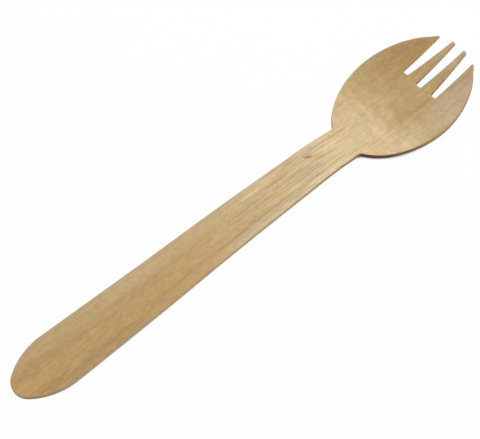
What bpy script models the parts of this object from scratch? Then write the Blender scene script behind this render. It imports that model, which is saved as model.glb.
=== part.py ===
"""Disposable wooden spork, cut from one sheet of birch veneer and hot-pressed into a shallow dish.

Units are metres and +Z is up. The tail of the handle points to -X and the tines to +X. The blank is
drawn flat, with its stations measured from the tail, and then pressed. The finished spork lies as it
rests on a table, on the tip of its tail and the bottom of its bowl.
"""

import math

import bmesh
import bpy
import numpy as np
from mathutils import Matrix, Vector

COLLECTION_NAME = "wooden_spork"
SPORK_NAME = "spork"

# Veneer
VENEER_THICKNESS = 0.0013
TUMBLED_EDGE = 0.00015

# Handle: widths are given at two stations, and the sides run straight between them
TAIL_NOSE_RADIUS = 0.0049
TAIL_SHOULDER_RADIUS = 0.0195
SHOULDER_AT = 0.015
SHOULDER_WIDTH = 0.0163
HANDLE_LENGTH = 0.1144
NECK_WIDTH = 0.0114
NECK_CORNER_RADIUS = 0.001

# Bowl outline: two half superellipses that meet at the widest station
BOWL_WIDTH = 0.0326
BOWL_REAR_LENGTH = 0.0237
BOWL_FRONT_LENGTH = 0.0230
BOWL_FULLNESS = 1.905

# Slots between the four tines: each slot opens towards the front
CENTRE_SLOT_LENGTH = 0.0169
CENTRE_SLOT_ROOT_WIDTH = 0.00197
CENTRE_SLOT_FLARE = math.radians(2.6)
OUTER_SLOT_LENGTH = 0.0166
OUTER_SLOT_ROOT_WIDTH = 0.0019
OUTER_SLOT_OFFSET = 0.00565
OUTER_SLOT_OUTER_FLARE = math.radians(0.2)
OUTER_SLOT_INNER_FLARE = math.radians(6.8)
SLOT_ROOT_RADIUS = 0.00045
INNER_TINE_TIP_RADIUS = 0.0004
INNER_TINE_SETBACK = 0.0003
OUTER_TINE_TIP_RADIUS = 0.0002

# Press tool: the spine bends down at the neck and up again along the bowl's floor
DISH_DEPTH = 0.00247
DISH_LOWEST_AT = 0.1295
NECK_BEND_RADIUS = 0.058
FLOOR_RADIUS = 0.092
CROSS_RADIUS = 0.0825
FLAT_TAIL_LENGTH = 0.045
HANDLE_BOW = 0.0004

# Finish of the wood
BIRCH_COLOUR = (0.60, 0.43, 0.24, 1.0)
BIRCH_ROUGHNESS = 0.62

# Fineness of the mesh
NOSE_STEPS = 7
SHOULDER_STEPS = 9
BOWL_REAR_STEPS = 17
BOWL_FRONT_STEPS = 14
CORNER_STEPS = 4
EDGE_SEGMENTS = 2
HANDLE_PITCH = 0.007
BOWL_PITCH = 0.0025
SMOOTH_ANGLE = math.radians(35)
SAME_POINT = 0.000001
ON_CUT = 0.00006
SLOPE_STEP = 0.00005
SETTLE_ROUNDS = 8
HALVINGS = 50

WIDEST_AT = HANDLE_LENGTH + BOWL_REAR_LENGTH
FRONT_AT = WIDEST_AT + BOWL_FRONT_LENGTH


def clear_scene():
    """Remove whatever the scene holds, so that the model is alone in it."""
    for item in list(bpy.data.objects):
        bpy.data.objects.remove(item, do_unlink=True)


def birch_material():
    """Plain pale birch, pressed but not coated."""
    material = bpy.data.materials.new("birch_veneer")
    material.use_nodes = True
    shader = material.node_tree.nodes["Principled BSDF"]
    shader.inputs["Base Color"].default_value = BIRCH_COLOUR
    shader.inputs["Roughness"].default_value = BIRCH_ROUGHNESS
    material.diffuse_color = BIRCH_COLOUR
    return material


def arc(centre, radius, start, end, steps):
    """Points on an arc, both ends included."""
    return [
        centre + radius * Vector((math.cos(angle), math.sin(angle)))
        for angle in np.linspace(start, end, steps + 1)
    ]


class StraightEdge:
    """A straight edge of the blank, through one point and at one angle to the length."""

    def __init__(self, point, angle):
        self.point = Vector(point)
        self.angle = angle

    def half_width(self, station):
        """How far the edge lies from the middle line at a station."""
        return self.point.y + (station - self.point.x) * math.tan(self.angle)


def handle_side():
    """The straight taper from the shoulder to the neck."""
    narrowing = (SHOULDER_WIDTH - NECK_WIDTH) / 2
    angle = -math.atan2(narrowing, HANDLE_LENGTH - SHOULDER_AT)
    return StraightEdge((SHOULDER_AT, SHOULDER_WIDTH / 2), angle)


def tail_curve(side):
    """Nose arc and shoulder arc, tangent to each other and to the handle's side."""
    nose_radius = min(TAIL_NOSE_RADIUS, 0.45 * SHOULDER_WIDTH)
    nose = Vector((nose_radius, 0.0))
    outward = Vector((-math.sin(side.angle), math.cos(side.angle)))
    along = Vector((math.cos(side.angle), math.sin(side.angle)))
    inset = side.point - outward * TAIL_SHOULDER_RADIUS - nose
    lead = inset.dot(along)
    reach = inset.length_squared - (TAIL_SHOULDER_RADIUS - nose_radius) ** 2
    shift = math.sqrt(max(lead * lead - reach, 0.0)) - lead
    shoulder = nose + inset + along * shift
    meeting = nose - shoulder
    meeting_angle = math.atan2(meeting.y, meeting.x)
    side_angle = math.atan2(outward.y, outward.x)
    nose_points = arc(nose, nose_radius, math.pi, meeting_angle, NOSE_STEPS)
    shoulder_points = arc(shoulder, TAIL_SHOULDER_RADIUS, meeting_angle, side_angle, SHOULDER_STEPS)
    return nose_points + shoulder_points[1:]


def bowl_point(angle):
    """Point on the bowl's outline: -90 degrees is its rear end, 0 its widest, 90 its front end."""
    power = 2.0 / BOWL_FULLNESS
    reach = BOWL_FRONT_LENGTH if angle > 0.0 else -BOWL_REAR_LENGTH
    along = reach * abs(math.sin(angle)) ** power
    across = BOWL_WIDTH / 2 * abs(math.cos(angle)) ** power
    return Vector((WIDEST_AT + along, across))


def meeting_angle_with(edge, inside, outside):
    """Angle at which the bowl's outline crosses a straight edge, found by halving."""
    for _ in range(HALVINGS):
        middle = (inside + outside) / 2
        point = bowl_point(middle)
        if point.y > edge.half_width(point.x):
            inside = middle
        else:
            outside = middle
    return (inside + outside) / 2


def slot_edges():
    """The three edges of the slots on one half of the blank, with the stations of their roots."""
    centre_root = FRONT_AT - CENTRE_SLOT_LENGTH
    outer_root = FRONT_AT - OUTER_SLOT_LENGTH
    half_root = OUTER_SLOT_ROOT_WIDTH / 2
    outer = StraightEdge((outer_root, OUTER_SLOT_OFFSET + half_root), OUTER_SLOT_OUTER_FLARE)
    inner = StraightEdge((outer_root, OUTER_SLOT_OFFSET - half_root), -OUTER_SLOT_INNER_FLARE)
    centre = StraightEdge((centre_root, CENTRE_SLOT_ROOT_WIDTH / 2), CENTRE_SLOT_FLARE)
    return outer, inner, centre


def half_blank():
    """Corners of one half of the blank, each with the radius that rounds it (0 on curves)."""
    side = handle_side()
    corners = [(point, 0.0) for point in tail_curve(side)]
    neck_angle = meeting_angle_with(side, 0.0, -math.pi / 2)
    corners.append((bowl_point(neck_angle), NECK_CORNER_RADIUS))
    for angle in np.linspace(neck_angle, 0.0, BOWL_REAR_STEPS + 1)[1:]:
        corners.append((bowl_point(angle), 0.0))
    outer, inner, centre = slot_edges()
    tip_angle = meeting_angle_with(outer, 0.0, math.pi / 2)
    for angle in np.linspace(0.0, tip_angle, BOWL_FRONT_STEPS + 1)[1:-1]:
        corners.append((bowl_point(angle), 0.0))
    corners.append((bowl_point(tip_angle), OUTER_TINE_TIP_RADIUS))
    corners.append((outer.point, SLOT_ROOT_RADIUS))
    corners.append((inner.point, SLOT_ROOT_RADIUS))
    for edge in (inner, centre):
        rim = bowl_point(meeting_angle_with(edge, 0.0, math.pi / 2))
        station = rim.x - INNER_TINE_SETBACK
        corners.append((Vector((station, edge.half_width(station))), INNER_TINE_TIP_RADIUS))
    corners.append((centre.point, SLOT_ROOT_RADIUS))
    return corners


def rounded_corner(before, corner, after, radius):
    """Points of the arc that rounds a corner, kept inside the straights on both sides."""
    back = before - corner
    ahead = after - corner
    half_angle = back.angle(ahead) / 2
    tangent = min(radius / math.tan(half_angle), 0.45 * back.length, 0.45 * ahead.length)
    start = corner + back.normalized() * tangent
    end = corner + ahead.normalized() * tangent
    middle = back.normalized() + ahead.normalized()
    centre = corner + middle.normalized() * (tangent / math.cos(half_angle))
    first = start - centre
    turn = first.angle_signed(end - centre)
    return [
        centre + Matrix.Rotation(-turn * step / CORNER_STEPS, 2) @ first
        for step in range(CORNER_STEPS + 1)
    ]


def blank_outline():
    """The whole outline: both halves, with the corners rounded."""
    half = half_blank()
    mirrored = [(Vector((point.x, -point.y)), radius) for point, radius in reversed(half[1:])]
    corners = half + mirrored
    outline = []
    for index, (point, radius) in enumerate(corners):
        if radius > 0.0:
            before = corners[index - 1][0]
            after = corners[(index + 1) % len(corners)][0]
            outline.extend(rounded_corner(before, point, after, radius))
        else:
            outline.append(point)
    return outline


def cut_blank(collection):
    """The flat blank: the outline as a filled curve, extruded to the veneer's thickness."""
    curve = bpy.data.curves.new("blank_outline", "CURVE")
    curve.dimensions = "2D"
    curve.fill_mode = "BOTH"
    curve.extrude = VENEER_THICKNESS / 2
    outline = blank_outline()
    spline = curve.splines.new("POLY")
    spline.points.add(len(outline) - 1)
    for place, point in zip(spline.points, outline):
        place.co = (point.x, point.y, 0.0, 1.0)
    spline.use_cyclic_u = True
    drawing = bpy.data.objects.new("blank_outline", curve)
    collection.objects.link(drawing)
    evaluated = drawing.evaluated_get(bpy.context.evaluated_depsgraph_get())
    mesh = bpy.data.meshes.new_from_object(evaluated)
    bpy.data.objects.remove(drawing, do_unlink=True)
    return mesh


def is_level(edge):
    """Whether both ends of an edge are at one height."""
    return abs(edge.verts[0].co.z - edge.verts[1].co.z) < SAME_POINT


def round_edges(blank):
    """Round the rims of both faces, as tumbling does."""
    bmesh.ops.remove_doubles(blank, verts=blank.verts[:], dist=SAME_POINT)
    bmesh.ops.dissolve_limit(blank, angle_limit=0.0005, verts=[], edges=blank.edges[:])
    rims = [edge for edge in blank.edges if is_level(edge)]
    bmesh.ops.bevel(
        blank,
        geom=rims,
        offset=TUMBLED_EDGE,
        offset_type="OFFSET",
        segments=EDGE_SEGMENTS,
        profile=0.5,
        affect="EDGES",
    )


def element_index(element):
    """Sorting key that keeps a mesh's elements in the same order each run."""
    return element.index


def index_all(blank):
    """Renumber the mesh's elements."""
    for elements in (blank.verts, blank.edges, blank.faces):
        elements.index_update()


def cut_mesh(blank, axis, places, beyond):
    """Add edge lines across an axis at each place, on the faces that lie beyond a station."""
    normal = Vector((0.0, 0.0, 0.0))
    normal[axis] = 1.0
    for place in places:
        faces = [face for face in blank.faces if face.calc_center_median().x > beyond]
        edges = {edge for face in faces for edge in face.edges}
        verts = {vert for face in faces for vert in face.verts}
        bmesh.ops.bisect_plane(
            blank,
            geom=[*sorted(verts, key=element_index), *sorted(edges, key=element_index), *faces],
            dist=ON_CUT,
            plane_co=normal * place,
            plane_no=normal,
        )
        index_all(blank)


def dish_slope():
    """Steepest slope of the spine, where the neck's bend runs into the bowl's floor."""
    return math.sqrt(2 * DISH_DEPTH / (NECK_BEND_RADIUS + FLOOR_RADIUS))


def dish_start():
    """Station where the neck begins to bend down."""
    return DISH_LOWEST_AT - dish_slope() * (NECK_BEND_RADIUS + FLOOR_RADIUS)


def add_bending_lines(blank):
    """Divide the faces only where the press bends them."""
    index_all(blank)
    start = dish_start()
    handle_lines = max(int((start - FLAT_TAIL_LENGTH) / HANDLE_PITCH), 1)
    cut_mesh(blank, 0, np.linspace(FLAT_TAIL_LENGTH, start, handle_lines + 1), 0.0)
    bowl_lines = int((FRONT_AT - start) / BOWL_PITCH)
    cut_mesh(blank, 0, np.linspace(start, FRONT_AT, bowl_lines + 1)[1:-1], start)
    cross_lines = 2 * int(BOWL_WIDTH / BOWL_PITCH / 2) + 1
    cut_mesh(blank, 1, np.linspace(-BOWL_WIDTH / 2, BOWL_WIDTH / 2, cross_lines + 1)[1:-1], start)


def smooth_step(share):
    """Ease from 0 to 1."""
    share = min(max(share, 0.0), 1.0)
    return share * share * (3.0 - 2.0 * share)


def spine_height(station):
    """Height of the upper face along the middle line."""
    start = dish_start()
    if station <= FLAT_TAIL_LENGTH:
        return 0.0
    if station < start:
        share = (station - FLAT_TAIL_LENGTH) / (start - FLAT_TAIL_LENGTH)
        return HANDLE_BOW * 16.0 * (share * (1.0 - share)) ** 2
    bend_end = start + dish_slope() * NECK_BEND_RADIUS
    if station < bend_end:
        return -((station - start) ** 2) / (2 * NECK_BEND_RADIUS)
    return (station - DISH_LOWEST_AT) ** 2 / (2 * FLOOR_RADIUS) - DISH_DEPTH


def pressed_height(station, across):
    """Height of the upper face: the spine, curved up to both sides in the bowl."""
    start = dish_start()
    growth = smooth_step((station - start) / (DISH_LOWEST_AT - start))
    return spine_height(station) + growth * across * across / (2 * CROSS_RADIUS)


def pressed(point):
    """Where a point of the flat blank goes: the veneer keeps its thickness square to the face."""
    station, across, level = point
    height = pressed_height(station, across)
    rise_along = pressed_height(station + SLOPE_STEP, across) - pressed_height(station - SLOPE_STEP, across)
    rise_across = pressed_height(station, across + SLOPE_STEP) - pressed_height(station, across - SLOPE_STEP)
    normal = Vector((-rise_along, -rise_across, 2 * SLOPE_STEP)).normalized()
    return Vector((station, across, height)) + normal * (level - VENEER_THICKNESS / 2)


def press(blank):
    """Press the divided blank into its dish."""
    for vert in blank.verts:
        vert.co = pressed(vert.co)


def settle(spork):
    """Lay the spork on its tail and its bowl, centred over the origin."""
    points = np.array([tuple(vert.co) for vert in spork.data.vertices])
    tail = points[:, 0] < FLAT_TAIL_LENGTH
    tilt = 0.0
    for _ in range(SETTLE_ROUNDS):
        along = points[:, 0] * math.cos(tilt) + points[:, 2] * math.sin(tilt)
        height = points[:, 2] * math.cos(tilt) - points[:, 0] * math.sin(tilt)
        drop = height[tail].min() - height[~tail].min()
        span = along[~tail][height[~tail].argmin()] - along[tail][height[tail].argmin()]
        tilt -= drop / span
    along = points[:, 0] * math.cos(tilt) + points[:, 2] * math.sin(tilt)
    height = points[:, 2] * math.cos(tilt) - points[:, 0] * math.sin(tilt)
    spork.rotation_euler.y = tilt
    spork.location = (-(along.min() + along.max()) / 2, 0.0, -height.min())


def make_spork(collection):
    """The finished spork: cut, tumbled, pressed and laid down."""
    mesh = cut_blank(collection)
    mesh.name = SPORK_NAME
    blank = bmesh.new()
    blank.from_mesh(mesh)
    round_edges(blank)
    add_bending_lines(blank)
    press(blank)
    bmesh.ops.recalc_face_normals(blank, faces=blank.faces[:])
    blank.to_mesh(mesh)
    blank.free()
    mesh.materials.clear()
    mesh.materials.append(birch_material())
    mesh.shade_smooth()
    mesh.set_sharp_from_angle(angle=SMOOTH_ANGLE)
    spork = bpy.data.objects.new(SPORK_NAME, mesh)
    collection.objects.link(spork)
    settle(spork)
    return spork


def main():
    """Build the spork in its own collection."""
    clear_scene()
    collection = bpy.data.collections.new(COLLECTION_NAME)
    bpy.context.scene.collection.children.link(collection)
    make_spork(collection)


main()
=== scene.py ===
"""Disposable wooden spork of pressed birch veneer, dressed and lit on a plain white floor.

Units are metres and +Z is up. The spork lies with its tail to -X and its tines to +X. Its blank is
drawn flat, in stations measured from the tail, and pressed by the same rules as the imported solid.
"""

from __future__ import annotations

import logging
import math
from dataclasses import dataclass, field
from enum import Enum

import bmesh
import bpy
import numpy as np
from mathutils import Matrix, Vector, noise


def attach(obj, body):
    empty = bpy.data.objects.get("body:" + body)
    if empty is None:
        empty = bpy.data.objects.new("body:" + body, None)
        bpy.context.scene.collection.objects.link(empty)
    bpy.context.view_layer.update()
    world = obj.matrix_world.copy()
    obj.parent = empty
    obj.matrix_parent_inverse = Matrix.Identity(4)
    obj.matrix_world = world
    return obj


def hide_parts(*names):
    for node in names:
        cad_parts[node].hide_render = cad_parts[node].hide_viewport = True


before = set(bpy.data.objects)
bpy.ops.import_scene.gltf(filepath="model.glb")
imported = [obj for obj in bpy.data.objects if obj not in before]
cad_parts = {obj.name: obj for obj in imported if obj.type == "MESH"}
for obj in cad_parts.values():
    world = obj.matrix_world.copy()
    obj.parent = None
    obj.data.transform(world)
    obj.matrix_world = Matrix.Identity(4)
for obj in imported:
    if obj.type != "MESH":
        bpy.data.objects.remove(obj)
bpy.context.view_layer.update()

LOG = logging.getLogger("spork")
ROOT_BODY = "root"
SPORK_NODE = "spork"

Socket = bpy.types.NodeSocket
Colour = tuple[float, float, float, float]
Triple = tuple[float, float, float]
Input = Socket | float | tuple[float, ...]

WHITE: Colour = (1.0, 1.0, 1.0, 1.0)


class Skin(Enum):
    """The two kinds of surface that a die-cut veneer shows, by their material slot."""

    FACE = 0
    CUT = 1


class Axis(Enum):
    """The directions along which the blank is divided."""

    LENGTH = 0
    WIDTH = 1


@dataclass(frozen=True)
class StraightEdge:
    """A straight edge of the blank, through one point and at one angle to the length."""

    point: Vector
    angle: float

    def half_width(self, station: float) -> float:
        """Return how far the edge lies from the middle line at a station."""
        return self.point.y + (station - self.point.x) * math.tan(self.angle)


@dataclass(frozen=True)
class Corner:
    """A point of the outline, with the radius that rounds it."""

    point: Vector
    radius: float = 0.0


@dataclass(frozen=True)
class Blank:
    """The die-cut outline: a tapered handle, an oval bowl and three slots between four tines."""

    thickness: float = 0.0013
    nose_radius: float = 0.0049
    shoulder_radius: float = 0.0195
    shoulder_at: float = 0.015
    shoulder_width: float = 0.0163
    handle_length: float = 0.1144
    neck_width: float = 0.0114
    neck_corner_radius: float = 0.0015
    bowl_width: float = 0.0326
    bowl_rear_length: float = 0.0237
    bowl_front_length: float = 0.0230
    bowl_fullness: float = 1.905
    centre_slot_length: float = 0.0169
    centre_slot_root_width: float = 0.00197
    centre_slot_flare: float = math.radians(2.6)
    outer_slot_length: float = 0.0166
    outer_slot_root_width: float = 0.0019
    outer_slot_offset: float = 0.00565
    outer_slot_outer_flare: float = math.radians(0.2)
    outer_slot_inner_flare: float = math.radians(6.8)
    slot_root_radius: float = 0.00045
    inner_tip_radius: float = 0.0004
    inner_tine_setback: float = 0.0003
    outer_tip_radius: float = 0.0002
    outer_tine_straight: float = 0.0035
    nose_steps: int = 24
    shoulder_steps: int = 30
    bowl_rear_steps: int = 60
    bowl_front_steps: int = 54
    corner_steps: int = 8
    neck_clearance: float = 0.6
    shared_straight: float = 0.45
    whole_straight: float = 0.95
    halvings: int = 50

    @property
    def widest_at(self) -> float:
        """Return the station of the bowl's widest place."""
        return self.handle_length + self.bowl_rear_length

    @property
    def front_at(self) -> float:
        """Return the station where the bowl's oval would end."""
        return self.widest_at + self.bowl_front_length

    def side(self) -> StraightEdge:
        """Find the straight taper from the shoulder to the neck.

        Returns:
            The edge, through the handle's widest place.
        """
        narrowing = (self.shoulder_width - self.neck_width) / 2
        angle = -math.atan2(narrowing, self.handle_length - self.shoulder_at)
        return StraightEdge(Vector((self.shoulder_at, self.shoulder_width / 2)), angle)

    def tail_curve(self) -> list[Vector]:
        """Draw the nose arc and the shoulder arc, tangent to each other and to the side.

        Returns:
            Points from the tip of the tail to the start of the straight side.
        """
        side = self.side()
        nose = Vector((self.nose_radius, 0.0))
        outward = Vector((-math.sin(side.angle), math.cos(side.angle)))
        along = Vector((math.cos(side.angle), math.sin(side.angle)))
        inset = side.point - outward * self.shoulder_radius - nose
        lead = inset.dot(along)
        reach = inset.length_squared - (self.shoulder_radius - self.nose_radius) ** 2
        shift = math.sqrt(max(lead * lead - reach, 0.0)) - lead
        shoulder = nose + inset + along * shift
        meeting = nose - shoulder
        meeting_angle = math.atan2(meeting.y, meeting.x)
        side_angle = math.atan2(outward.y, outward.x)
        points = self.arc(nose, self.nose_radius, (math.pi, meeting_angle), self.nose_steps)
        turn = (meeting_angle, side_angle)
        return points + self.arc(shoulder, self.shoulder_radius, turn, self.shoulder_steps)[1:]

    @staticmethod
    def arc(centre: Vector, radius: float, turn: tuple[float, float], steps: int) -> list[Vector]:
        """Return points on an arc, both ends included.

        Args:
            centre: Middle of the arc.
            radius: Its radius.
            turn: First and last angle.
            steps: Number of equal steps between them.

        Returns:
            The points in order.
        """
        angles = np.linspace(turn[0], turn[1], steps + 1)
        return [centre + radius * Vector((math.cos(a), math.sin(a))) for a in angles]

    def bowl_point(self, angle: float) -> Vector:
        """Find a point of the bowl's oval.

        Args:
            angle: Angle from the bowl's widest place, positive towards the tines.

        Returns:
            The point.
        """
        power = 2.0 / self.bowl_fullness
        reach = self.bowl_front_length if angle > 0.0 else -self.bowl_rear_length
        along = reach * abs(math.sin(angle)) ** power
        return Vector((self.widest_at + along, self.bowl_width / 2 * abs(math.cos(angle)) ** power))

    def crossing(self, edge: StraightEdge, end_angle: float) -> float:
        """Find by halving where the bowl's oval crosses a straight edge.

        Args:
            edge: The edge that is crossed.
            end_angle: Angle of the end of the oval on the edge's side.

        Returns:
            The angle of the crossing.
        """
        inside, outside = 0.0, end_angle
        for _ in range(self.halvings):
            middle = (inside + outside) / 2
            point = self.bowl_point(middle)
            if point.y > edge.half_width(point.x):
                inside = middle
            else:
                outside = middle
        return (inside + outside) / 2

    @staticmethod
    def meeting(start: Vector, through: Vector, edge: StraightEdge) -> Vector:
        """Find where the line through two points meets a straight edge.

        Args:
            start: The first point.
            through: The second point.
            edge: The edge that the line meets.

        Returns:
            The meeting point.
        """
        step = through - start
        climb = edge.half_width(through.x) - through.y
        return through + step * (climb / (step.y - step.x * math.tan(edge.angle)))

    def slot_edges(self) -> tuple[StraightEdge, StraightEdge, StraightEdge]:
        """Find the edges of the slots on one half.

        Returns:
            The outer slot's two edges and the centre slot's edge.
        """
        half_root = self.outer_slot_root_width / 2
        outer_root = self.front_at - self.outer_slot_length
        centre_root = self.front_at - self.centre_slot_length
        wide = Vector((outer_root, self.outer_slot_offset + half_root))
        near = Vector((outer_root, self.outer_slot_offset - half_root))
        middle = Vector((centre_root, self.centre_slot_root_width / 2))
        return (
            StraightEdge(wide, self.outer_slot_outer_flare),
            StraightEdge(near, -self.outer_slot_inner_flare),
            StraightEdge(middle, self.centre_slot_flare),
        )

    def half(self) -> list[Corner]:
        """Find the corners of one half of the outline.

        Returns:
            The corners from the tip of the tail to the root of the centre slot.
        """
        neck_angle = self.crossing(self.side(), -math.pi / 2)
        neck = self.bowl_point(neck_angle)
        corners = [Corner(point) for point in self.tail_curve()]
        corners.append(Corner(neck, self.neck_corner_radius))
        for angle in np.linspace(neck_angle, 0.0, self.bowl_rear_steps + 1)[1:]:
            point = self.bowl_point(angle)
            if (point - neck).length > self.neck_clearance * self.neck_corner_radius:
                corners.append(Corner(point))
        outer, inner, centre = self.slot_edges()
        tip_angle = self.crossing(outer, math.pi / 2)
        rim_end = self.bowl_point(tip_angle)
        for angle in np.linspace(0.0, tip_angle, self.bowl_front_steps + 1)[1:-1]:
            point = self.bowl_point(angle)
            if (point - rim_end).length > self.outer_tine_straight:
                corners.append(Corner(point))
        tip = self.meeting(corners[-2].point, corners[-1].point, outer)
        corners.append(Corner(tip, self.outer_tip_radius))
        corners.append(Corner(outer.point, self.slot_root_radius))
        corners.append(Corner(inner.point, self.slot_root_radius))
        for edge in (inner, centre):
            rim = self.bowl_point(self.crossing(edge, math.pi / 2))
            station = rim.x - self.inner_tine_setback
            point = Vector((station, edge.half_width(station)))
            corners.append(Corner(point, self.inner_tip_radius))
        corners.append(Corner(centre.point, self.slot_root_radius))
        return corners

    def rounded(self, before: Corner, corner: Corner, after: Corner) -> list[Vector]:
        """Round one corner of the outline, as far as the straights on both sides let it.

        Args:
            before: The corner ahead of it.
            corner: The corner that is rounded.
            after: The corner past it.

        Returns:
            Points on the rounding arc.
        """
        back = before.point - corner.point
        ahead = after.point - corner.point
        back_room = self.shared_straight if before.radius > 0.0 else self.whole_straight
        ahead_room = self.shared_straight if after.radius > 0.0 else self.whole_straight
        half_angle = back.angle(ahead) / 2
        wanted = corner.radius / math.tan(half_angle)
        tangent = min(wanted, back_room * back.length, ahead_room * ahead.length)
        middle = (back.normalized() + ahead.normalized()).normalized()
        centre = corner.point + middle * (tangent / math.cos(half_angle))
        first = corner.point + back.normalized() * tangent - centre
        turn = first.angle_signed(corner.point + ahead.normalized() * tangent - centre)
        steps = self.corner_steps
        return [centre + Matrix.Rotation(-turn * s / steps, 2) @ first for s in range(steps + 1)]

    def outline(self) -> list[Vector]:
        """Join both halves and round their corners.

        Returns:
            The points of the closed outline.
        """
        half = self.half()
        mirrored = [Corner(Vector((c.point.x, -c.point.y)), c.radius) for c in reversed(half[1:])]
        corners = half + mirrored
        outline: list[Vector] = []
        for index, corner in enumerate(corners):
            if corner.radius > 0.0:
                after = corners[(index + 1) % len(corners)]
                outline.extend(self.rounded(corners[index - 1], corner, after))
            else:
                outline.append(corner.point)
        return outline


@dataclass(frozen=True)
class PressTool:
    """The form that the hot press gives the flat blank."""

    dish_depth: float = 0.00247
    lowest_at: float = 0.1295
    neck_bend_radius: float = 0.058
    floor_radius: float = 0.092
    cross_radius: float = 0.0825
    flat_tail_length: float = 0.045
    handle_bow: float = 0.0004
    uneven_height: float = 0.000014
    uneven_length: float = 0.011
    uneven_width: float = 0.0035
    slope_step: float = 0.00005

    @property
    def slope(self) -> float:
        """Return the steepest slope of the spine, where the neck's bend meets the floor."""
        return math.sqrt(2 * self.dish_depth / (self.neck_bend_radius + self.floor_radius))

    @property
    def start(self) -> float:
        """Return the station where the neck begins to bend down."""
        return self.lowest_at - self.slope * (self.neck_bend_radius + self.floor_radius)

    def spine(self, station: float) -> float:
        """Find the height of the upper face along the middle line.

        Args:
            station: Distance from the tail along the blank.

        Returns:
            The height, from 0 at the flat tail.
        """
        if station <= self.flat_tail_length:
            return 0.0
        if station < self.start:
            share = (station - self.flat_tail_length) / (self.start - self.flat_tail_length)
            return self.handle_bow * 16.0 * (share * (1.0 - share)) ** 2
        if station < self.start + self.slope * self.neck_bend_radius:
            return -((station - self.start) ** 2) / (2 * self.neck_bend_radius)
        return (station - self.lowest_at) ** 2 / (2 * self.floor_radius) - self.dish_depth

    def height(self, station: float, across: float) -> float:
        """Find the height of the upper face, with the veneer's slight unevenness.

        Args:
            station: Distance from the tail along the blank.
            across: Offset from the middle line.

        Returns:
            The height, from 0 at the flat tail.
        """
        share = (station - self.start) / (self.lowest_at - self.start)
        share = min(max(share, 0.0), 1.0)
        growth = share * share * (3.0 - 2.0 * share)
        place = Vector((station / self.uneven_length, across / self.uneven_width, 0.0))
        uneven = self.uneven_height * noise.noise(place)
        return self.spine(station) + growth * across * across / (2 * self.cross_radius) + uneven

    def press(self, point: Vector, thickness: float) -> Vector:
        """Move a point of the flat blank to its pressed place.

        Args:
            point: Station, offset across and level in the flat blank.
            thickness: The veneer's thickness, which is kept square to the face.

        Returns:
            The pressed point.
        """
        station, across, level = point
        step = self.slope_step
        along = self.height(station + step, across) - self.height(station - step, across)
        aside = self.height(station, across + step) - self.height(station, across - step)
        normal = Vector((-along, -aside, 2 * step)).normalized()
        top = Vector((station, across, self.height(station, across)))
        return top + normal * (level - thickness / 2)


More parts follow.
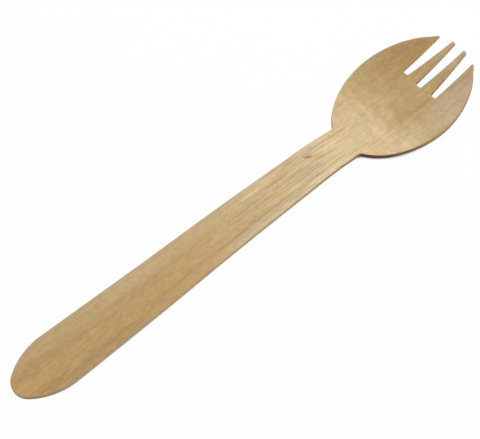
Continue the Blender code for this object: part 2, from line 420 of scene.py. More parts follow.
class Graph:
    """The shader nodes of a material or a world, added and linked one by one."""

    FIRST_COLOUR: int = 6
    SECOND_COLOUR: int = 7
    MIXED_COLOUR: int = 2
    NOISE_ROUGHNESS: float = 0.6

    def __init__(self, owner: bpy.types.Material | bpy.types.World) -> None:
        """Start from the nodes that a new material or world comes with."""
        owner.use_nodes = True
        self.tree = owner.node_tree

    @property
    def shader(self) -> bpy.types.Node:
        """Return the material's own Principled shader."""
        return self.tree.nodes["Principled BSDF"]

    def add(self, kind: str, inputs: dict[str | int, Input], **settings: object) -> bpy.types.Node:
        """Add a node.

        Args:
            kind: The node's type.
            inputs: Values or sockets for its inputs.
            settings: Properties of the node.

        Returns:
            The new node.
        """
        node = self.tree.nodes.new(kind)
        for name, value in settings.items():
            setattr(node, name, value)
        for name, value in inputs.items():
            self.feed(node.inputs[name], value)
        return node

    def feed(self, target: Socket, value: Input) -> None:
        """Set an input, or link a socket to it.

        Args:
            target: The input.
            value: Its value, or the socket that it takes its value from.
        """
        if isinstance(value, bpy.types.NodeSocket):
            self.tree.links.new(value, target)
        else:
            target.default_value = value

    def math(self, operation: str, *values: Input, clamp: bool = False) -> Socket:
        """Add a Math node and return its result."""
        inputs = dict(enumerate(values))
        return self.add("ShaderNodeMath", inputs, operation=operation, use_clamp=clamp).outputs[0]

    def blend(self, share: Input, first: Input, second: Input) -> Socket:
        """Mix two colours.

        Args:
            share: How much of the second colour shows.
            first: The first colour.
            second: The second colour.

        Returns:
            The mixed colour.
        """
        node = self.add("ShaderNodeMix", {"Factor": share}, data_type="RGBA")
        self.feed(node.inputs[self.FIRST_COLOUR], first)
        self.feed(node.inputs[self.SECOND_COLOUR], second)
        return node.outputs[self.MIXED_COLOUR]

    def ramp(self, value: Input, zero_at: float, one_at: float) -> Socket:
        """Ease a value from 0 to 1 between two places."""
        inputs = {"Value": value, "From Min": zero_at, "From Max": one_at}
        return self.add("ShaderNodeMapRange", inputs, interpolation_type="SMOOTHSTEP").outputs[0]

    def window(self, value: Input, low: float, high: float, soft: float) -> Socket:
        """Ease a value to 1 inside a span and to 0 outside it.

        Args:
            value: The value.
            low: Start of the span.
            high: End of the span.
            soft: Half the length of the easing at each end.

        Returns:
            The eased value.
        """
        rise = self.ramp(value, low - soft, low + soft)
        fall = self.ramp(value, high + soft, high - soft)
        return self.math("MULTIPLY", rise, fall)

    def noise(self, vector: Input, scale: Triple, detail: float) -> Socket:
        """Add a noise about 0.

        Args:
            vector: Where the noise is taken.
            scale: The noise's scale in each direction.
            detail: Number of its finer octaves.

        Returns:
            The noise.
        """
        mapped = self.add("ShaderNodeMapping", {"Vector": vector, "Scale": scale}).outputs[0]
        inputs = {"Vector": mapped, "Scale": 1.0, "Detail": detail, "Roughness": self.NOISE_ROUGHNESS}
        texture = self.add("ShaderNodeTexNoise", inputs)
        return self.math("SUBTRACT", texture.outputs[0], 0.5)

    def attribute(self, name: str, output: str) -> Socket:
        """Return a value that the mesh carries."""
        return self.add("ShaderNodeAttribute", {}, attribute_name=name).outputs[output]

    def shown_share(self) -> Socket:
        """Tell the rays that show the white studio from those that light the spork.

        Returns:
            1 for a camera, glossy or transmission ray, and otherwise 0.
        """
        path = self.add("ShaderNodeLightPath", {}).outputs
        mirrored = self.math("MAXIMUM", path["Is Glossy Ray"], path["Is Transmission Ray"])
        return self.math("MAXIMUM", path["Is Camera Ray"], mirrored)

    def brighten(self, colour: Socket, tone: Socket) -> Socket:
        """Make a colour brighter by a share of itself.

        Args:
            colour: The colour.
            tone: The share, which darkens where it is negative.

        Returns:
            The changed colour.
        """
        inputs = {0: colour, "Scale": self.math("ADD", tone, 1.0)}
        return self.add("ShaderNodeVectorMath", inputs, operation="SCALE").outputs[0]

    def relief(self, height: Socket, distance: float) -> None:
        """Bump the surface.

        Args:
            height: The height of the relief, in steps of the distance.
            distance: The length of a step.
        """
        inputs = {"Height": height, "Distance": distance, "Strength": 1.0}
        bump = self.add("ShaderNodeBump", inputs)
        self.feed(self.shader.inputs["Normal"], bump.outputs[0])


@dataclass(frozen=True)
class Grain:
    """One layer of the wood's figure: a stretched noise, and how far it changes the tone."""

    scale: Triple
    strength: float = 1.0
    detail: float = 2.0

    def noise(self, graph: Graph, blank: Socket) -> Socket:
        """Return the layer's noise about 0."""
        return graph.noise(blank, self.scale, self.detail)


@dataclass(frozen=True)
class Place:
    """Where a shader is on the flat blank, with the noises that its figure shares."""

    blank: Socket
    along: Socket
    across: Socket
    ragged: Socket
    patchy: Socket
    fine: Socket
    streaks: Socket


@dataclass(frozen=True)
class GrowthLine:
    """A line of the grain, in stations and offsets of the flat blank.

    A positive strength darkens the wood and a negative one makes it paler. The line drifts and
    sways away from its offset, fades in and out at its ends, and breaks up where the wood is patchy.
    """

    start: float
    end: float
    offset: float
    drift: float
    sway: float
    sway_length: float
    width: float
    strength: float
    fade: float = 0.004
    wobble: float = 0.0006
    breaking: float = 2.4

    def tone(self, graph: Graph, place: Place) -> Socket:
        """Return how much the line changes the wood's tone.

        Args:
            graph: The material's nodes.
            place: Where the shader is on the blank.

        Returns:
            A value from 0 beside the line to its strength on it.
        """
        distance = graph.math("SUBTRACT", place.along, self.start)
        route = graph.math("MULTIPLY_ADD", distance, self.drift, self.offset)
        swing = graph.math("SINE", graph.math("MULTIPLY", distance, 2 * math.pi / self.sway_length))
        route = graph.math("MULTIPLY_ADD", swing, self.sway, route)
        route = graph.math("MULTIPLY_ADD", place.ragged, self.wobble, route)
        gap = graph.math("ABSOLUTE", graph.math("SUBTRACT", place.across, route))
        line = graph.ramp(gap, self.width, 0.0)
        line = graph.math("MULTIPLY", line, graph.window(place.along, self.start, self.end, self.fade))
        broken = graph.math("MULTIPLY_ADD", place.patchy, self.breaking * self.strength, self.strength)
        return graph.math("MULTIPLY", line, broken)


# Start, end, offset, drift, sway, sway length, width and strength, then fade and wobble
GROWTH_LINES: tuple[GrowthLine, ...] = (
    # The main line along the handle, with the finer ones that go with it
    GrowthLine(0.008, 0.060, -0.0066, 0.055, 0.00025, 0.040, 0.0008, 0.11, 0.008),
    GrowthLine(0.038, 0.072, -0.0042, 0.009, 0.00030, 0.060, 0.0009, 0.10, 0.010),
    GrowthLine(0.069, 0.112, -0.0038, 0.009, 0.00025, 0.050, 0.0005, 0.34, 0.008),
    GrowthLine(0.084, 0.117, -0.0043, -0.006, 0.00010, 0.030, 0.0004, 0.20, 0.006),
    GrowthLine(0.070, 0.105, -0.0050, 0.004, 0.00012, 0.026, 0.0005, -0.26, 0.006),
    GrowthLine(0.094, 0.114, -0.0036, 0.010, 0.00008, 0.020, 0.0003, -0.24, 0.005),
    GrowthLine(0.086, 0.106, 0.0002, 0.010, 0.00020, 0.020, 0.0005, 0.09, 0.005),
    # The neck: a short streak, and a fleck with its faint trail
    GrowthLine(0.104, 0.119, 0.0036, 0.020, 0.00010, 0.020, 0.0004, 0.34, 0.003, 0.0002),
    GrowthLine(0.1029, 0.1047, 0.0030, -0.500, 0.00000, 0.010, 0.0009, 0.55, 0.0006, 0.0),
    GrowthLine(0.1048, 0.1085, 0.0018, -0.120, 0.00000, 0.010, 0.0004, 0.24, 0.0008, 0.0),
    # The bowl and its outer tines
    GrowthLine(0.119, 0.143, -0.0057, 0.028, 0.00020, 0.030, 0.0005, 0.17, 0.004),
    GrowthLine(0.126, 0.135, -0.0037, 0.010, 0.00005, 0.010, 0.0004, 0.09, 0.003),
    GrowthLine(0.139, 0.160, -0.0055, -0.160, 0.00020, 0.020, 0.0009, 0.13, 0.005),
    GrowthLine(0.134, 0.158, 0.0134, -0.180, 0.00030, 0.025, 0.0011, 0.10, 0.005),
)


@dataclass(frozen=True)
class Patch:
    """A soft oval patch on the flat blank, of another wood tone, in some places painted sheen."""

    station: float
    offset: float
    half_length: float
    half_width: float
    colour: Colour
    strength: float
    raggedness: float = 0.5

    def share(self, graph: Graph, place: Place) -> Socket:
        """Return how far the patch's colour replaces the wood's.

        Args:
            graph: The material's nodes.
            place: Where the shader is on the blank.

        Returns:
            A value from 0 outside the patch to its strength in the middle.
        """
        along = graph.math("SUBTRACT", place.along, self.station)
        along = graph.math("DIVIDE", along, self.half_length)
        across = graph.math("SUBTRACT", place.across, self.offset)
        across = graph.math("DIVIDE", across, self.half_width)
        away = graph.math("MULTIPLY_ADD", along, along, graph.math("MULTIPLY", across, across))
        away = graph.math("MULTIPLY_ADD", place.patchy, self.raggedness, away)
        return graph.math("MULTIPLY", graph.ramp(away, 1.0, 0.0), self.strength)


PALE_BIRCH_AND_SHEEN: Colour = (0.62, 0.47, 0.27, 1.0)
TAN_BIRCH: Colour = (0.44, 0.29, 0.115, 1.0)
PINK_BIRCH_SHEEN: Colour = (0.53, 0.39, 0.245, 1.0)
RED_BIRCH: Colour = (0.435, 0.252, 0.096, 1.0)
CREAM_BIRCH: Colour = (0.69, 0.54, 0.32, 1.0)

# Station, offset, half length, half width, colour and strength
PATCHES: tuple[Patch, ...] = (
    # Paler wood below the main line and round the neck, and painted sheen on the neck's bend,
    # the bowl's rear and along the bowl's rim
    Patch(0.092, -0.0062, 0.034, 0.0036, PALE_BIRCH_AND_SHEEN, 0.90),
    Patch(0.050, 0.0060, 0.064, 0.0045, PALE_BIRCH_AND_SHEEN, 0.45),
    Patch(0.086, 0.0040, 0.012, 0.0030, PALE_BIRCH_AND_SHEEN, 0.60),
    # Painted sheen where the neck's bend faces the light
    Patch(0.106, -0.0010, 0.014, 0.0080, PALE_BIRCH_AND_SHEEN, 0.60),
    Patch(0.102, -0.0052, 0.013, 0.0038, CREAM_BIRCH, 0.75),
    Patch(0.106, 0.0047, 0.008, 0.0022, CREAM_BIRCH, 0.60),
    Patch(0.110, 0.0024, 0.005, 0.0012, PALE_BIRCH_AND_SHEEN, 0.60),
    # Painted sheen on the bowl's rear, and along its rim on the side that faces the light
    Patch(0.124, 0.0000, 0.008, 0.0100, PALE_BIRCH_AND_SHEEN, 0.40),
    Patch(0.127, -0.0115, 0.012, 0.0045, PALE_BIRCH_AND_SHEEN, 0.60),
    # Darker wood along one edge of the handle and in the bowl
    Patch(0.026, -0.0062, 0.013, 0.0024, TAN_BIRCH, 0.60),
    Patch(0.134, -0.0035, 0.009, 0.0040, TAN_BIRCH, 0.60),
    Patch(0.132, 0.0108, 0.007, 0.0055, TAN_BIRCH, 0.50),
    # Cooler wood with painted sheen on the outer tines' side that faces the light,
    # and redder wood on the other side
    Patch(0.148, -0.0120, 0.017, 0.0072, PINK_BIRCH_SHEEN, 0.85),
    Patch(0.150, 0.0095, 0.015, 0.0070, RED_BIRCH, 0.70),
    # Paler tips of the inner tines, and redder wood on the tail's nose
    Patch(0.158, 0.0000, 0.007, 0.0080, PALE_BIRCH_AND_SHEEN, 0.45),
    Patch(0.009, -0.0052, 0.006, 0.0018, RED_BIRCH, 0.60),
)


@dataclass(frozen=True)
class BirchFace:
    """Pale birch, smooth from the press, with a fine straight grain and painted sheen."""

    tan: Colour = (0.525, 0.337, 0.142, 1.0)
    # The neck's colour holds painted sheen, and the bowl front's painted shade, besides the wood's
    # tone
    pale: Colour = (0.585, 0.420, 0.205, 1.0)
    bowl_front: Colour = (0.458, 0.310, 0.130, 1.0)
    line: Colour = (0.300, 0.165, 0.060, 1.0)
    # Paler colour for the pale growth lines, and for the painted highlight on the arris
    pale_grain_and_highlight: Colour = (0.620, 0.480, 0.310, 1.0)
    roughness: float = 0.55
    uneven_roughness: float = 0.16
    gloss: float = 0.23
    bump: float = 0.000004
    slant: float = 1.6
    arris_highlight_strength: float = 0.5
    dark_lines: float = 1.6
    pale_lines: float = 2.0
    # Where the tone turns paler with painted sheen, and darker with painted shade towards the tines
    paler_from: tuple[float, float] = (0.045, 0.096)
    darker_from: tuple[float, float] = (0.124, 0.139)
    neck_span: Triple = (0.082, 0.112, 0.014)
    dish_span: Triple = (0.120, 0.138, 0.006)
    neck_grain: float = 0.92
    plain_grain: float = 0.25
    fine: Grain = Grain((130.0, 3600.0, 900.0), 0.95)
    streaks: Grain = Grain((60.0, 1400.0, 300.0), 1.00)
    fuzz: Grain = Grain((900.0, 1400.0, 900.0), 0.42)
    patchy: Grain = Grain((330.0, 900.0, 300.0), 0.32)
    broad: Grain = Grain((24.0, 130.0, 50.0), 0.20)
    ripple: Grain = Grain((420.0, 150.0, 150.0), 0.60)
    ragged: Grain = Grain((240.0, 60.0, 60.0))
    growth_lines: tuple[GrowthLine, ...] = GROWTH_LINES
    patches: tuple[Patch, ...] = PATCHES

    def material(self) -> bpy.types.Material:
        """Make the finish.

        Returns:
            The material.
        """
        material = bpy.data.materials.new("birch_face")
        graph = Graph(material)
        place = self.place(graph)
        colour = self.wood(graph, place)
        colour = self.lines(graph, place, colour)
        colour = self.figure(graph, place, colour)
        # Painted highlight: the face's share of the arris is blended paler, as a rounded edge that
        # catches the light
        arris_highlight = graph.attribute("arris_highlight", "Fac")
        colour = graph.blend(graph.math("MULTIPLY", arris_highlight, self.arris_highlight_strength), colour, self.pale_grain_and_highlight)
        graph.feed(graph.shader.inputs["Base Color"], colour)
        rough = graph.math("MULTIPLY_ADD", place.streaks, self.uneven_roughness, self.roughness)
        graph.feed(graph.shader.inputs["Roughness"], rough)
        graph.feed(graph.shader.inputs["Specular IOR Level"], self.gloss)
        graph.relief(graph.math("ADD", place.streaks, place.fine), self.bump)
        return material

    def place(self, graph: Graph) -> Place:
        """Find the place on the blank, with the growth rings slanting through the veneer.

        Args:
            graph: The material's nodes.

        Returns:
            The place and its noises.
        """
        blank = graph.attribute("blank", "Vector")
        split = graph.add("ShaderNodeSeparateXYZ", {0: blank})
        depth = graph.math("SUBTRACT", split.outputs[2], Blank.thickness / 2)
        return Place(
            blank=blank,
            along=split.outputs[0],
            across=graph.math("MULTIPLY_ADD", depth, self.slant, split.outputs[1]),
            ragged=self.ragged.noise(graph, blank),
            patchy=self.patchy.noise(graph, blank),
            fine=self.fine.noise(graph, blank),
            streaks=self.streaks.noise(graph, blank),
        )

    def wood(self, graph: Graph, place: Place) -> Socket:
        """Colour the wood, from the tan tail to the paler neck and the darker bowl.

        The paler neck holds painted sheen, the darker bowl painted shade, besides the wood's tone.

        Args:
            graph: The material's nodes.
            place: Where the shader is on the blank.

        Returns:
            The colour.
        """
        # Paler wood and painted sheen towards the neck, darker wood and painted shade towards the
        # tines
        colour = graph.blend(graph.ramp(place.along, *self.paler_from), self.tan, self.pale)
        colour = graph.blend(graph.ramp(place.along, *self.darker_from), colour, self.bowl_front)
        for patch in self.patches:
            colour = graph.blend(patch.share(graph, place), colour, patch.colour)
        return colour

    def lines(self, graph: Graph, place: Place, colour: Socket) -> Socket:
        """Draw the growth lines, the dark ones towards brown and the pale ones lighter.

        Args:
            graph: The material's nodes.
            place: Where the shader is on the blank.
            colour: The wood so far.

        Returns:
            The colour with its lines.
        """
        total: Input = 0.0
        for line in self.growth_lines:
            total = graph.math("ADD", total, line.tone(graph, place))
        dark = graph.math("MAXIMUM", total, 0.0)
        pale = graph.math("MAXIMUM", graph.math("MULTIPLY", total, -1.0), 0.0)
        dark = graph.math("MULTIPLY", dark, self.dark_lines, clamp=True)
        pale = graph.math("MULTIPLY", pale, self.pale_lines, clamp=True)
        return graph.blend(pale, graph.blend(dark, colour, self.line), self.pale_grain_and_highlight)

    def figure(self, graph: Graph, place: Place, colour: Socket) -> Socket:
        """Add the fine grain, strongest at the neck, and the wood's mottling.

        Args:
            graph: The material's nodes.
            place: Where the shader is on the blank.
            colour: The wood so far.

        Returns:
            The colour with its grain.
        """
        neck = graph.window(place.along, *self.neck_span)
        strong = graph.math("MULTIPLY_ADD", neck, self.neck_grain, self.plain_grain)
        dish = graph.window(place.along, *self.dish_span)
        fuzz = self.fuzz.noise(graph, place.blank)
        broad = self.broad.noise(graph, place.blank)
        ripple = graph.math("MULTIPLY", self.ripple.noise(graph, place.blank), dish)
        tone = graph.math("MULTIPLY", place.fine, self.fine.strength)
        tone = graph.math("MULTIPLY_ADD", place.streaks, self.streaks.strength, tone)
        tone = graph.math("MULTIPLY", tone, strong)
        tone = graph.math("MULTIPLY_ADD", fuzz, self.fuzz.strength, tone)
        tone = graph.math("MULTIPLY_ADD", place.patchy, self.patchy.strength, tone)
        tone = graph.math("MULTIPLY_ADD", broad, self.broad.strength, tone)
        tone = graph.math("MULTIPLY_ADD", ripple, self.ripple.strength, tone)
        return graph.brighten(colour, tone)


@dataclass(frozen=True)
class BirchCut:
    """The die-cut edge: tan along the grain, and darker where the blade crossed the fibres.

    The cut has its lit colours nearly everywhere, with painted light on the side that faces the
    light. Painted shade makes it dark where the blade crossed the fibres on the side of the neck
    and the bowl that turns from the light, and somewhat dull along the rest of both.
    """

    # Shaded colours for painted shade over the neck and the bowl, and lit colours for the rest
    shaded_end_grain: Colour = (0.090, 0.055, 0.033, 1.0)
    shaded_long_grain: Colour = (0.400, 0.300, 0.195, 1.0)
    lit_end_grain: Colour = (0.420, 0.330, 0.230, 1.0)
    lit_long_grain: Colour = (0.590, 0.470, 0.320, 1.0)
    # The span of painted shade, and the offset past which the side that faces the light stays lit
    shade_span: Triple = (0.102, 0.140, 0.014)
    lit_side_from: float = 0.003
    all_crossed: float = 0.75
    fibres: Grain = Grain((700.0, 700.0, 4200.0), 0.9, 3.0)
    patches: Grain = Grain((180.0, 180.0, 300.0), 0.3)
    roughness: float = 0.75
    bump: float = 0.00003

    def material(self) -> bpy.types.Material:
        """Make the finish.

        Returns:
            The material.
        """
        material = bpy.data.materials.new("birch_cut_edge")
        graph = Graph(material)
        blank = graph.attribute("blank", "Vector")
        split = graph.add("ShaderNodeSeparateXYZ", {0: blank})
        fibres = self.fibres.noise(graph, blank)
        patches = self.patches.noise(graph, blank)
        crossed = graph.attribute("crossed", "Fac")
        crossed = graph.math("MULTIPLY_ADD", patches, self.patches.strength, crossed)
        # Painted shade: in this span the long grain is duller, and on the -Y side the end grain is
        # dark
        neck = graph.window(split.outputs[0], *self.shade_span)
        dark = graph.math("MULTIPLY", neck, graph.ramp(split.outputs[1], self.lit_side_from, 0.0))
        long_grain_with_shade = graph.blend(neck, self.lit_long_grain, self.shaded_long_grain)
        end_grain_with_shade = graph.blend(dark, self.lit_end_grain, self.shaded_end_grain)
        colour = graph.blend(graph.ramp(crossed, 0.0, self.all_crossed), long_grain_with_shade, end_grain_with_shade)
        tone = graph.math("MULTIPLY", fibres, self.fibres.strength)
        graph.feed(graph.shader.inputs["Base Color"], graph.brighten(colour, tone))
        graph.feed(graph.shader.inputs["Roughness"], self.roughness)
        graph.relief(fibres, self.bump)
        return material


@dataclass(frozen=True)
class WhiteFloor:
    """Matt white board that is seen as paper white, and keeps the shadow close under the spork.

    The nearness of the spork is probed on the side that faces the light, so that the shadow shows
    on the far side only.
    """

    white: Colour = (0.80, 0.80, 0.80, 1.0)
    shown: Colour = WHITE
    roughness: float = 0.9
    lift: float = 0.97
    contact: float = 0.0022
    probes: int = 16
    towards_light: Triple = (0.35, 0.50, 0.79)
    darkest: float = 0.20
    open_from: float = 0.55

    def material(self) -> bpy.types.Material:
        """Make the finish, which glows white except close under the spork.

        Returns:
            The material.
        """
        material = bpy.data.materials.new("white_board")
        graph = Graph(material)
        graph.feed(graph.shader.inputs["Base Color"], self.white)
        graph.feed(graph.shader.inputs["Roughness"], self.roughness)
        glow = graph.add("ShaderNodeEmission", {"Color": self.shown, "Strength": 1.0})
        inputs = {"Distance": self.contact, "Normal": self.towards_light}
        nearby = graph.add("ShaderNodeAmbientOcclusion", inputs, samples=self.probes)
        clear = graph.ramp(nearby.outputs["AO"], self.darkest, self.open_from)
        share = graph.math("MULTIPLY", graph.shown_share(), self.lift)
        mix = graph.add("ShaderNodeMixShader", {0: graph.math("MULTIPLY", share, clear)})
        graph.feed(mix.inputs[1], graph.shader.outputs[0])
        graph.feed(mix.inputs[2], glow.outputs[0])
        graph.feed(graph.tree.nodes["Material Output"].inputs["Surface"], mix.outputs[0])
        return material


@dataclass
class Spork:
    """The spork itself: one sheet of veneer, cut, tumbled and pressed."""

    blank: Blank = field(default_factory=Blank)
    tool: PressTool = field(default_factory=PressTool)
    face: BirchFace = field(default_factory=BirchFace)
    cut: BirchCut = field(default_factory=BirchCut)
    arris: float = 0.00015
    arris_segments: int = 4
    arris_roundness: float = 0.5
    face_share: float = 0.35
    bowl_pitch: float = 0.0008
    handle_pitch: float = 0.003
    on_plane: float = 0.00003
    same_point: float = 0.0000005
    level_from: float = 0.5
    upright_to: float = 0.01
    settle_rounds: int = 8

    def flat_mesh(self) -> bmesh.types.BMesh:
        """Cut the flat blank.

        Returns:
            One thick sheet with a single face on each side.
        """
        curve = bpy.data.curves.new("spork_outline", "CURVE")
        curve.dimensions = "2D"
        curve.fill_mode = "BOTH"
        curve.extrude = self.blank.thickness / 2
        outline = self.blank.outline()
        spline = curve.splines.new("POLY")
        spline.points.add(len(outline) - 1)
        for place, point in zip(spline.points, outline):
            place.co = (point.x, point.y, 0.0, 1.0)
        spline.use_cyclic_u = True
        drawing = bpy.data.objects.new("spork_outline", curve)
        bpy.context.scene.collection.objects.link(drawing)
        evaluated = drawing.evaluated_get(bpy.context.evaluated_depsgraph_get())
        mesh = bpy.data.meshes.new_from_object(evaluated)
        sheet = bmesh.new()
        sheet.from_mesh(mesh)
        bpy.data.objects.remove(drawing, do_unlink=True)
        bpy.data.meshes.remove(mesh)
        bmesh.ops.remove_doubles(sheet, verts=sheet.verts[:], dist=self.same_point)
        sheet.normal_update()
        level = {polygon for polygon in sheet.faces if abs(polygon.normal.z) > self.level_from}
        inner = [edge for edge in sheet.edges if all(face in level for face in edge.link_faces)]
        bmesh.ops.dissolve_edges(sheet, edges=inner, use_verts=False)
        return sheet

    def tumble(self, sheet: bmesh.types.BMesh) -> None:
        """Round the arris of both faces.

        Args:
            sheet: The flat blank.
        """
        rims = [e for e in sheet.edges if abs(e.verts[0].co.z - e.verts[1].co.z) < self.same_point]
        bmesh.ops.bevel(
            sheet,
            geom=rims,
            offset=self.arris,
            offset_type="OFFSET",
            segments=self.arris_segments,
            profile=self.arris_roundness,
            affect="EDGES",
        )

    def divide(self, sheet: bmesh.types.BMesh) -> None:
        """Divide the sheet finely where it is dished, and coarsely along the handle.

        Args:
            sheet: The flat blank.
        """
        half_width = self.blank.bowl_width / 2
        bend = self.tool.start
        cuts = (
            (Axis.LENGTH, 0.0, bend, self.handle_pitch),
            (Axis.LENGTH, bend - self.bowl_pitch, self.blank.front_at, self.bowl_pitch),
            (Axis.WIDTH, -half_width, half_width, self.bowl_pitch),
        )
        for axis, low, high, pitch in cuts:
            count = round((high - low) / pitch)
            for place in np.linspace(low, high, count + 1)[1:-1]:
                self.split(sheet, axis, float(place))

    def split(self, sheet: bmesh.types.BMesh, axis: Axis, place: float) -> None:
        """Split every face that lies across one plane.

        Args:
            sheet: The sheet to divide.
            axis: The direction that the plane faces.
            place: Where the plane stands.
        """
        near = self.on_plane
        crossed = []
        for polygon in sheet.faces:
            reach = [vert.co[axis.value] for vert in polygon.verts]
            if min(reach) < place - near and max(reach) > place + near:
                crossed.append(polygon)
        edges = dict.fromkeys(edge for polygon in crossed for edge in polygon.edges)
        verts = dict.fromkeys(vert for polygon in crossed for vert in polygon.verts)
        normal = Vector((0.0, 0.0, 0.0))
        normal[axis.value] = 1.0
        geometry = [*verts, *edges, *crossed]
        bmesh.ops.bisect_plane(
            sheet,
            geom=geometry,
            dist=near,
            plane_co=normal * place,
            plane_no=normal,
        )

    def label(self, sheet: bmesh.types.BMesh) -> dict[str, list[float]]:
        """Give each face its skin, and note what the finishes need at each point.

        Args:
            sheet: The flat, divided sheet.

        Returns:
            The points' places in the blank, whether they lie on the arris that gets a painted
            highlight, and how far the cut crosses the grain there.
        """
        flat_level = self.blank.thickness / 2 - self.same_point
        wall_level = self.blank.thickness / 2 - self.arris * self.face_share
        notes: dict[str, list[float]] = {"blank": [], "arris_highlight": [], "crossed": []}
        sheet.normal_update()
        for polygon in sheet.faces:
            level = abs(polygon.calc_center_median().z)
            polygon.material_index = (Skin.FACE if level > wall_level else Skin.CUT).value
            polygon.smooth = True
        for vert in sheet.verts:
            on_arris = wall_level < abs(vert.co.z) < flat_level
            level_normal = Vector((vert.normal.x, vert.normal.y))
            upright = level_normal.length > self.upright_to
            crossed = abs(level_normal.normalized().x) if upright else 0.0
            notes["blank"].extend(vert.co)
            notes["arris_highlight"].append(1.0 if on_arris else 0.0)
            notes["crossed"].append(crossed)
        return notes

    def lay_down(self, points: np.ndarray) -> Matrix:
        """Find how the pressed spork rests on its tail and its bowl.

        Args:
            points: The pressed points.

        Returns:
            The turn and shift that lay it over the origin.
        """
        tail = points[:, 0] < self.tool.flat_tail_length
        tilt = 0.0
        for _ in range(self.settle_rounds):
            along = points[:, 0] * math.cos(tilt) + points[:, 2] * math.sin(tilt)
            height = points[:, 2] * math.cos(tilt) - points[:, 0] * math.sin(tilt)
            drop = height[tail].min() - height[~tail].min()
            span = along[~tail][height[~tail].argmin()] - along[tail][height[tail].argmin()]
            tilt -= drop / span
        along = points[:, 0] * math.cos(tilt) + points[:, 2] * math.sin(tilt)
        height = points[:, 2] * math.cos(tilt) - points[:, 0] * math.sin(tilt)
        shift = Vector((-(along.min() + along.max()) / 2, 0.0, -height.min()))
        return Matrix.Translation(shift) @ Matrix.Rotation(tilt, 4, "Y")

    def build(self) -> bpy.types.Object:
        """Cut, tumble, press and dress the spork.

        Returns:
            The finished object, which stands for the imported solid.
        """
        sheet = self.flat_mesh()
        self.tumble(sheet)
        self.divide(sheet)
        notes = self.label(sheet)
        for vert in sheet.verts:
            vert.co = self.tool.press(vert.co, self.blank.thickness)
        bmesh.ops.recalc_face_normals(sheet, faces=sheet.faces[:])
        mesh = bpy.data.meshes.new("veneer_spork")
        sheet.to_mesh(mesh)
        sheet.free()
        blank = mesh.attributes.new("blank", "FLOAT_VECTOR", "POINT")
        blank.data.foreach_set("vector", notes["blank"])
        for name in ("arris_highlight", "crossed"):
            mesh.attributes.new(name, "FLOAT", "POINT").data.foreach_set("value", notes[name])
        points = np.array([tuple(vert.co) for vert in mesh.vertices])
        mesh.transform(self.lay_down(points))
        for finish in (self.face, self.cut):
            mesh.materials.append(finish.material())
        spork = bpy.data.objects.new("veneer_spork", mesh)
        bpy.context.scene.collection.objects.link(spork)
        normals = spork.modifiers.new("even_normals", "WEIGHTED_NORMAL")
        normals.keep_sharp = True
        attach(spork, ROOT_BODY)
        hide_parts(SPORK_NODE)
        return spork


@dataclass(frozen=True)
class SoftBox:
    """A rectangular studio light that faces the spork."""

    name: str
    azimuth: float
    elevation: float
    distance: float
    width: float
    height: float
    power: float
    glossy: bool = True

    def build(self) -> bpy.types.Object:
        """Hang the light and turn it to the middle of the spork.

        Returns:
            The light's object.
        """
        data = bpy.data.lights.new(self.name, "AREA")
        data.shape = "RECTANGLE"
        data.size = self.width
        data.size_y = self.height
        data.energy = self.power
        lamp = bpy.data.objects.new(self.name, data)
        level = math.cos(self.elevation)
        aim = Vector((
            level * math.cos(self.azimuth),
            level * math.sin(self.azimuth),
            math.sin(self.elevation),
        ))
        lamp.location = aim * self.distance
        lamp.rotation_euler = aim.to_track_quat("Z", "Y").to_euler()
        lamp.visible_glossy = self.glossy
        bpy.context.scene.collection.objects.link(lamp)
        return lamp


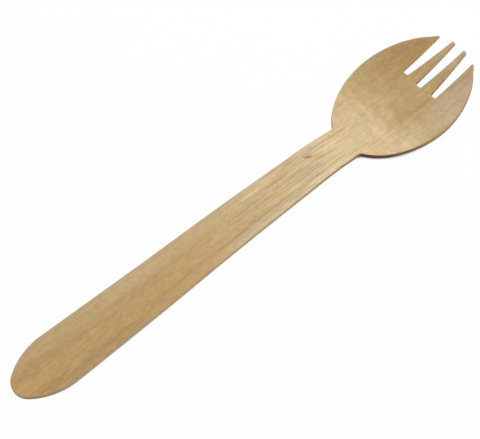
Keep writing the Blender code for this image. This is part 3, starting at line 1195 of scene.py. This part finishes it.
@dataclass(frozen=True)
class Studio:
    """Floor, lights, surroundings and camera."""

    floor_size: float = 4.0
    floor_drop: float = 0.00002
    surround: float = 0.11
    eye: Triple = (-0.12801, -0.15758, 0.33473)
    aim: Triple = (-0.00402, -0.00021, 0.0030)
    roll: float = math.radians(-2.82)
    lens: float = 106.6
    sensor: float = 36.0
    nearest_seen: float = 0.01

    def floor(self) -> bpy.types.Object:
        """Lay the white board that the spork rests on.

        Returns:
            The board.
        """
        mesh = bpy.data.meshes.new("white_board")
        board = bmesh.new()
        bmesh.ops.create_grid(board, x_segments=1, y_segments=1, size=self.floor_size / 2)
        board.to_mesh(mesh)
        board.free()
        mesh.materials.append(WhiteFloor().material())
        floor = bpy.data.objects.new("white_board", mesh)
        floor.location.z = -self.floor_drop
        bpy.context.scene.collection.objects.link(floor)
        return floor

    def lights(self) -> list[bpy.types.Object]:
        """Hang the studio lights.

        Returns:
            The lights.
        """
        boxes = (
            SoftBox(
                name="key_panel",
                azimuth=math.radians(27),
                elevation=math.radians(40),
                distance=0.75,
                width=0.40,
                height=0.30,
                power=5.6,
            ),
            SoftBox(
                name="overhead",
                azimuth=math.radians(60),
                elevation=math.radians(80),
                distance=1.1,
                width=0.8,
                height=0.8,
                power=2.1,
                glossy=False,
            ),
            SoftBox(
                name="low_fill",
                azimuth=math.radians(-100),
                elevation=math.radians(15),
                distance=1.0,
                width=0.5,
                height=0.3,
                power=2.0,
                glossy=False,
            ),
            SoftBox(
                name="rear_fill",
                azimuth=math.radians(150),
                elevation=math.radians(15),
                distance=1.0,
                width=0.4,
                height=0.3,
                power=1.5,
                glossy=False,
            ),
        )
        return [box.build() for box in boxes]

    def surroundings(self) -> None:
        """Make the world dim where it lights the spork, and white where it is seen."""
        world = bpy.data.worlds.new("studio")
        bpy.context.scene.world = world
        graph = Graph(world)
        background = graph.tree.nodes["Background"]
        strength = graph.math("MAXIMUM", graph.shown_share(), self.surround)
        graph.feed(background.inputs["Color"], WHITE)
        graph.feed(background.inputs["Strength"], strength)

    def camera(self) -> bpy.types.Object:
        """Set up the camera at the photograph's viewing angle.

        Returns:
            The camera.
        """
        data = bpy.data.cameras.new("camera")
        data.sensor_width = self.sensor
        data.lens = self.lens
        data.clip_start = self.nearest_seen
        camera = bpy.data.objects.new("camera", data)
        sight = Vector(self.aim) - Vector(self.eye)
        facing = sight.to_track_quat("-Z", "Y").to_matrix() @ Matrix.Rotation(self.roll, 3, "Z")
        camera.matrix_world = Matrix.Translation(self.eye) @ facing.to_4x4()
        bpy.context.scene.collection.objects.link(camera)
        bpy.context.scene.camera = camera
        return camera

    def build(self) -> None:
        """Set the whole studio up."""
        bpy.context.scene.view_settings.view_transform = "Standard"
        self.camera()
        self.surroundings()
        self.lights()
        self.floor()


def main() -> None:
    """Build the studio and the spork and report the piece."""
    logging.basicConfig(level=logging.INFO, format="%(name)s: %(message)s")
    Studio().build()
    spork = Spork().build()
    LOG.info("%s: %d faces", spork.name, len(spork.data.polygons))


if __name__ == "__main__":
    main()
